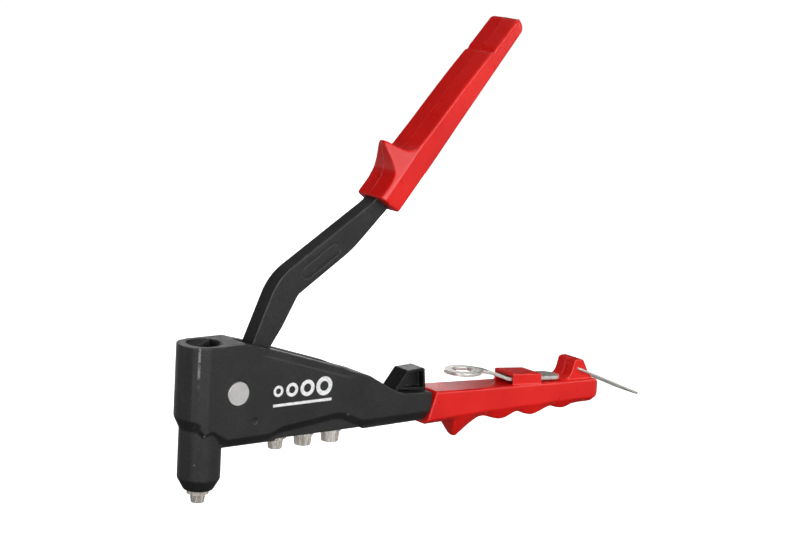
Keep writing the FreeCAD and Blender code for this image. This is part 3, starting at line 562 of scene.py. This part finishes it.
def lower_rings():
    rings = []
    for x, inset in end_rounding(LOWER_START, LOWER_END, 0.8, 7.2, 9, 0.5):
        ring = []
        for y, z in lower_section(x, inset):
            near_front = max(0.0, 1 - (x - LOWER_START) / FRONT_LEAN_LENGTH)
            lean = near_front * max(0.0, z - FRONT_LEAN_FOOT) * FRONT_LEAN
            ring.append(Vector((x + lean, y, z)))
        rings.append(ring)
    return rings


def prism(name, outline, half, edge):
    """Plate in the XZ plane between -half and half in Y, with every edge rounded."""
    bm = bmesh.new()
    near = [bm.verts.new((x * MM, -half * MM, z * MM)) for x, z in outline]
    face = bm.faces.new(near)
    made = bmesh.ops.extrude_face_region(bm, geom=[face])
    for vert in (g for g in made["geom"] if isinstance(g, bmesh.types.BMVert)):
        vert.co.y = half * MM
    bmesh.ops.recalc_face_normals(bm, faces=bm.faces)
    bmesh.ops.bevel(bm, geom=list(bm.edges), offset=edge * MM, segments=3, affect="EDGES",
                    clamp_overlap=True)
    mesh = bpy.data.meshes.new(name)
    bm.to_mesh(mesh)
    bm.free()
    return new_object(name, mesh)


def arc_points(centre, radius, start, end, steps):
    """Points (x, z) on an arc from start to end, in degrees."""
    return [(centre[0] + radius * math.cos(math.radians(start + (end - start) * k / steps)),
             centre[1] + radius * math.sin(math.radians(start + (end - start) * k / steps)))
            for k in range(steps + 1)]


CLIP_START = 199.6
CLIP_END = 220.4
CLIP_HALF = 8.6
CLIP_WALL_HALF = 0.75
CLIP_LID = [(CLIP_START, 47.5), (CLIP_START, 49.6), (CLIP_END, 47.8), (CLIP_END, 46.0)]
CLIP_WALL = [(CLIP_START, 40.0), (CLIP_START, 49.4), (CLIP_END, 47.6), (CLIP_END, 39.5)]
LUG_HALF = 7.4
LUG = ([(236.4, 39.5), (238.0, 41.8)]
       + arc_points((237.5, 49.0), 7.2, -85, -8, 6)
       + arc_points((247.9, 50.3), 2.7, 150, 90, 4)
       + arc_points((250.7, 50.3), 2.6, 85, 30, 4)
       + [(256.3, 45.4), (259.8, 41.2), (259.8, 39.5)])

lower_parts = [loft("lower_grip_loft", lower_rings()), prism("clip_lid", CLIP_LID, CLIP_HALF, 0.3)]
for side in (-1, 1):
    wall = prism("clip_wall", CLIP_WALL, CLIP_WALL_HALF, 0.2)
    wall.data.transform(Matrix.Translation((0, side * (CLIP_HALF - CLIP_WALL_HALF) * MM, 0)))
    lower_parts.append(wall)
lower_parts.append(prism("lug", LUG, LUG_HALF, 0.9))
lower_grip = soft_skin("lower_grip_moulding", lower_parts, GRIP_GRAIN, GRIP_PASSES)
dress(lower_grip, RED)
stand_for(lower_grip, "lower_grip", "casting")


# ---------------------------------------------------------------- casting, arm, stop block, wrench
for skin_name, node_name, body, slot_name, material, grain, passes in (
        ("casting_painted", "body_casting", "casting", "black_cast", CAST_BLACK, 0.4, 3),
        ("arm_forging", "handle_arm", "handle", "black_arm", ARM_BLACK, 0.4, 7),
        ("stop_block_moulding", "stop_bumper", "casting", "black_bumper", BUMPER_BLACK, 0.25, 2),
        ("wrench_pressing", "wrench", "wrench", "wrench_nickel", WRENCH_NICKEL, 0.25, 2)):
    skin = soft_skin(skin_name, [copy_of(node_name)], grain, passes)
    dress(skin, material)
    stand_for(skin, node_name, body)


# ---------------------------------------------------------------- print on the casting
PRINT_RINGS = ((38.5, 3.0), (47.0, 3.7), (56.6, 4.4), (67.2, 5.1))   # (centre x, outer radius)
PRINT_RING_Z = 57.2
PRINT_HOLE = 0.52   # inner over outer radius
PRINT_BAR = [(35.6, 48.9), (72.2, 48.9), (72.2, 50.4), (35.6, 50.4)]
INK_PROUD = 0.06
INK_DEPTH = 0.15


def print_mesh(name, shapes):
    """Thin printed shapes on the casting's near side, each an (x, z) loop in millimetres."""
    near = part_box("body_casting")[0].y
    bm = bmesh.new()
    for loop in shapes:
        front = [bm.verts.new((x * MM, near - INK_PROUD * MM, z * MM)) for x, z in loop]
        back = [bm.verts.new((x * MM, near + INK_DEPTH * MM, z * MM)) for x, z in loop]
        bm.faces.new(front)
        bm.faces.new(list(reversed(back)))
        for k in range(len(loop)):
            n = (k + 1) % len(loop)
            bm.faces.new((front[n], front[k], back[k], back[n]))
    bmesh.ops.recalc_face_normals(bm, faces=bm.faces)
    mesh = bpy.data.meshes.new(name)
    bm.to_mesh(mesh)
    bm.free()
    return new_object(name, mesh)


def ring_quads(x, z, outer, inner, steps=36):
    """A flat ring as separate quads."""
    quads = []
    for k in range(steps):
        a = 2 * math.pi * k / steps
        b = 2 * math.pi * (k + 1) / steps
        quads.append([(x + inner * math.cos(a), z + inner * math.sin(a)),
                      (x + outer * math.cos(a), z + outer * math.sin(a)),
                      (x + outer * math.cos(b), z + outer * math.sin(b)),
                      (x + inner * math.cos(b), z + inner * math.sin(b))])
    return quads


marks = []
for centre_x, outer in PRINT_RINGS:
    marks += ring_quads(centre_x, PRINT_RING_Z, outer, outer * PRINT_HOLE)
marks.append(PRINT_BAR)
size_print = print_mesh("rivet_size_print", marks)
dress(size_print, INK)
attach(size_print, "casting")


# ---------------------------------------------------------------- stage, light, camera
FLOOR_Z = -0.07
FLOOR_SHADE = 0.95
FLOOR_GLOW = 0.92
BACKDROP_SHADE = 0.96
# what the object reflects: (height, brightness), from straight down at 0 to straight up at 1
SKY_STOPS = [(0.0, 0.05), (0.25, 0.08), (0.36, 0.40), (0.48, 0.40), (0.515, 0.01), (0.85, 0.03),
             (0.98, 0.30)]
# (name, place, width and height, watts), in metres
LIGHTS = (
    ("key", (-0.10, -1.40, 0.50), (1.5, 1.0), 20),
    ("side", (1.2, -0.8, 0.50), (0.5, 0.9), 4),
    ("overhead", (0.25, 0.35, 1.30), (0.8, 0.8), 4),
    ("back_fill", (0.50, 1.40, 0.15), (1.4, 0.7), 8),
    ("left_low", (-1.15, -0.80, 0.08), (0.4, 0.6), 5),
    ("left_strip", (-1.10, 0.50, 0.10), (0.4, 0.5), 1.2),
)
AZIMUTH = math.radians(37.417)
PITCH = math.radians(11.163)
ROLL = math.radians(3.362)
AIM = Vector((0.1275, 0.0069, 0.1054))
CAMERA_DISTANCE = 1.2
LENS = 100
SENSOR_WIDTH = 36


def floor_material():
    material = bpy.data.materials.new("pale_floor")
    material.use_nodes = True
    shader = material.node_tree.nodes["Principled BSDF"]
    shader.inputs["Base Color"].default_value = (FLOOR_SHADE, FLOOR_SHADE, FLOOR_SHADE, 1.0)
    shader.inputs["Roughness"].default_value = 0.9
    shader.inputs["Specular IOR Level"].default_value = 0.1
    shader.inputs["Emission Color"].default_value = (1.0, 1.0, 1.0, 1.0)
    shader.inputs["Emission Strength"].default_value = FLOOR_GLOW
    return material


def add_floor():
    """Pale floor that throws no light or reflection on the object."""
    bpy.ops.mesh.primitive_plane_add(size=30, location=(0, 0, FLOOR_Z))
    floor = bpy.context.object
    floor.name = "studio_floor"
    dress(floor, floor_material())
    floor.visible_diffuse = False
    floor.visible_glossy = False


def add_world():
    """Banded studio surroundings for the reflections, and a plain pale backdrop behind the object."""
    world = bpy.data.worlds.new("studio")
    bpy.context.scene.world = world
    world.use_nodes = True
    nodes = world.node_tree.nodes
    link = world.node_tree.links.new
    background = nodes["Background"]
    sky = nodes.new("ShaderNodeValToRGB")
    place = nodes.new("ShaderNodeTexCoord")
    height = nodes.new("ShaderNodeSeparateXYZ")
    span = nodes.new("ShaderNodeMapRange")
    span.inputs["From Min"].default_value = -1.0
    link(place.outputs["Generated"], height.inputs["Vector"])
    link(height.outputs["Z"], span.inputs["Value"])
    link(span.outputs["Result"], sky.inputs["Fac"])
    seen = nodes.new("ShaderNodeLightPath")
    paper = nodes.new("ShaderNodeMix")
    paper.data_type = "RGBA"
    paper.inputs[7].default_value = (BACKDROP_SHADE, BACKDROP_SHADE, BACKDROP_SHADE, 1.0)
    link(seen.outputs["Is Camera Ray"], paper.inputs[0])
    link(sky.outputs["Color"], paper.inputs[6])
    link(paper.outputs[2], background.inputs["Color"])
    while len(sky.color_ramp.elements) < len(SKY_STOPS):
        sky.color_ramp.elements.new(0.5)
    for stop, (position, level) in zip(sky.color_ramp.elements, SKY_STOPS):
        stop.position = position
        stop.color = (level, level, level, 1.0)


def soft_box(name, place, target, size, power):
    data = bpy.data.lights.new(name, "AREA")
    data.shape = "RECTANGLE"
    data.size, data.size_y = size
    data.energy = power
    lamp = bpy.data.objects.new(name, data)
    bpy.context.scene.collection.objects.link(lamp)
    lamp.location = place
    lamp.rotation_euler = (target - Vector(place)).to_track_quat("-Z", "Y").to_euler()


def add_camera():
    look = Vector((math.sin(AZIMUTH) * math.cos(PITCH),
                   math.cos(AZIMUTH) * math.cos(PITCH),
                   -math.sin(PITCH)))
    right = Vector((math.cos(AZIMUTH), -math.sin(AZIMUTH), 0))
    upward = right.cross(look)
    rolled_right = right * math.cos(ROLL) + upward * math.sin(ROLL)
    rolled_up = upward * math.cos(ROLL) - right * math.sin(ROLL)
    data = bpy.data.cameras.new("camera")
    data.lens = LENS
    data.sensor_width = SENSOR_WIDTH
    camera = bpy.data.objects.new("camera", data)
    bpy.context.scene.collection.objects.link(camera)
    turn = Matrix((rolled_right, rolled_up, -look)).transposed().to_4x4()
    camera.matrix_world = Matrix.Translation(AIM - look * CAMERA_DISTANCE) @ turn
    bpy.context.scene.camera = camera


add_floor()
add_world()
middle = (Vector(cad_bounds[0]) + Vector(cad_bounds[1])) / 2
for light_name, light_place, light_size, watts in LIGHTS:
    soft_box(light_name, light_place, middle, light_size, watts)
add_camera()
bpy.context.scene.view_settings.view_transform = "Standard"
